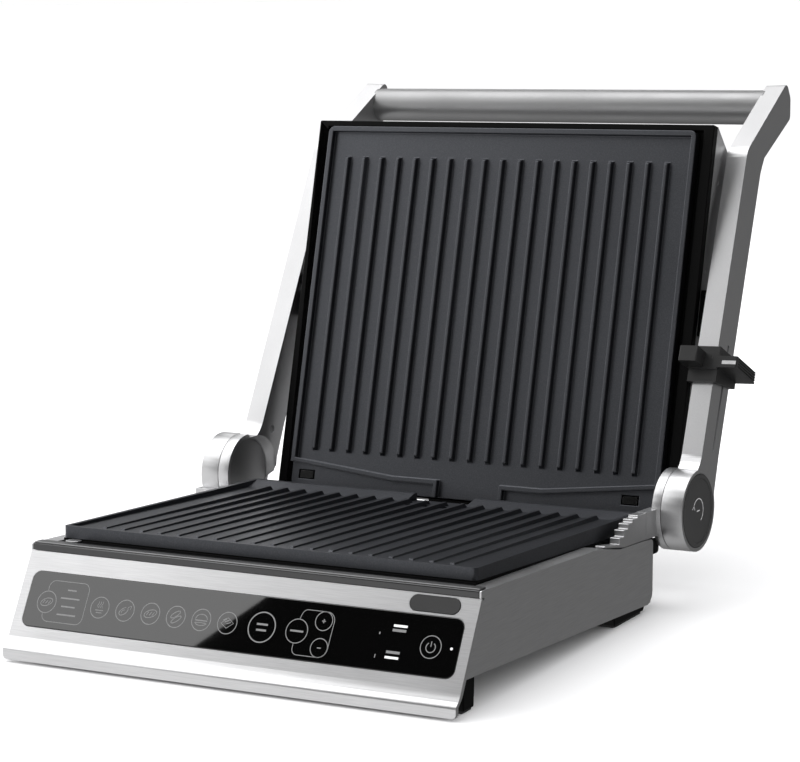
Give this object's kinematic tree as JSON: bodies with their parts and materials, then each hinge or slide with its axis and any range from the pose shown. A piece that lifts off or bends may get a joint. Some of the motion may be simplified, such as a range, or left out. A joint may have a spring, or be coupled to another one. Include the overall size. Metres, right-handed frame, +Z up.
{
  "type": "contact grill",
  "caption": "Countertop contact grill with a sloped touch panel, ribbed plates, arm-hung lid, handle, height clip and drip tray.",
  "frame": {"origin": "centre of the overall box in X and Y, on the table plane", "axes": "+X to the right seen from the front, +Y to the back, +Z up"},
  "size_m": [0.4084, 0.5242, 0.3448],
  "materials": {
    "brushed_steel": "fine horizontal brush",
    "satin_silver": "satin silver",
    "bright_strip": "satin",
    "gloss_black": "gloss",
    "touch_glass": "polished black glass with pale printed symbols",
    "badge_grey": "satin grey",
    "nonstick": "non-stick coating with a slight sheen",
    "black_plastic": "fine matte",
    "clip_black": "satin",
    "button_grey": "satin",
    "handle_metal": "satin grey",
    "zinc_steel": "zinc plated",
    "heater_tube": "dull",
    "reflector": "bright rolled",
    "circuit": "solder mask green",
    "pan_plastic": "black",
    "rubber": "matte",
    "brass": "plain",
    "mark_white": "printed pale bar",
    "led_white": "clear lens",
    "tray_black": "semi-gloss"
  },
  "bodies": {
    "base": {"base_pan": "pan_plastic", "pan_walls": "pan_plastic", "tray_rails": "pan_plastic", "screw_bosses": "pan_plastic", "back_panel": "brushed_steel", "post_studs": "zinc_steel", "side_shell": "brushed_steel", "fascia": "brushed_steel", "touch_glass": "touch_glass", "badge_plate": "badge_grey", "display_module": "gloss_black", "status_led": "led_white", "control_board": "circuit", "power_board": "circuit", "top_trim": "gloss_black", "trim_rim": "bright_strip", "plate_deck": "black_plastic", "lower_plate": "nonstick", "lower_heater": "heater_tube", "lower_reflector": "reflector", "lower_sensor": "zinc_steel", "lower_latch": "zinc_steel", "hinge_boss_right": "satin_silver", "hinge_boss_left": "satin_silver", "hinge_pin_right": "zinc_steel", "hinge_pin_left": "zinc_steel", "friction_washers": "brass", "step_rack": "satin_silver", "rear_housing": "black_plastic", "front_legs": "black_plastic", "rear_feet": "black_plastic", "rubber_pads": "rubber", "base_screws": "zinc_steel", "cord_gland": "black_plastic"},
    "tray": {"drip_tray": "tray_black", "tray_pull": "black_plastic"},
    "lid_arms": {"arm_left": "satin_silver", "arm_right": "satin_silver", "handle_tube": "handle_metal", "handle_plugs": "zinc_steel", "hinge_cap_left": "button_grey", "hinge_bushes": "brass", "pivot_pins": "zinc_steel", "arm_screws": "zinc_steel"},
    "button": {"release_button": "button_grey"},
    "clip": {"height_clip": "clip_black", "clip_mark": "mark_white"},
    "head": {"head_frame": "black_plastic", "upper_plate": "nonstick", "upper_latches": "gloss_black", "upper_heater": "heater_tube", "upper_reflector": "reflector", "upper_sensor": "zinc_steel", "head_cover": "brushed_steel", "pivot_blocks": "black_plastic", "cover_screws": "zinc_steel"}
  },
  "joints": [
    {"name": "lid_hinge", "type": "hinge", "parent": "base", "child": "lid_arms", "pos_m": [0.00085, 0.05895, 0.06455], "axis": [-1, 0, 0], "range_deg": [-104.5, 50]},
    {"name": "head_tilt", "type": "hinge", "parent": "lid_arms", "child": "head", "pos_m": [0.00085, 0.12991, 0.19527], "axis": [-1, 0, 0], "range_deg": [-1.5, 4]},
    {"name": "clip_slide", "type": "slide", "parent": "lid_arms", "child": "clip", "axis": [0.0305, -0.4584, -0.8882], "range_m": [0, 0.05]},
    {"name": "release_button", "type": "slide", "parent": "lid_arms", "child": "button", "axis": [-1, 0, 0], "range_m": [0, 0.003], "stiffness_N_per_m": 400},
    {"name": "drip_tray", "type": "slide", "parent": "base", "child": "tray", "axis": [0, 0.998, -0.0628], "range_m": [0, 0.1]}
  ]
}
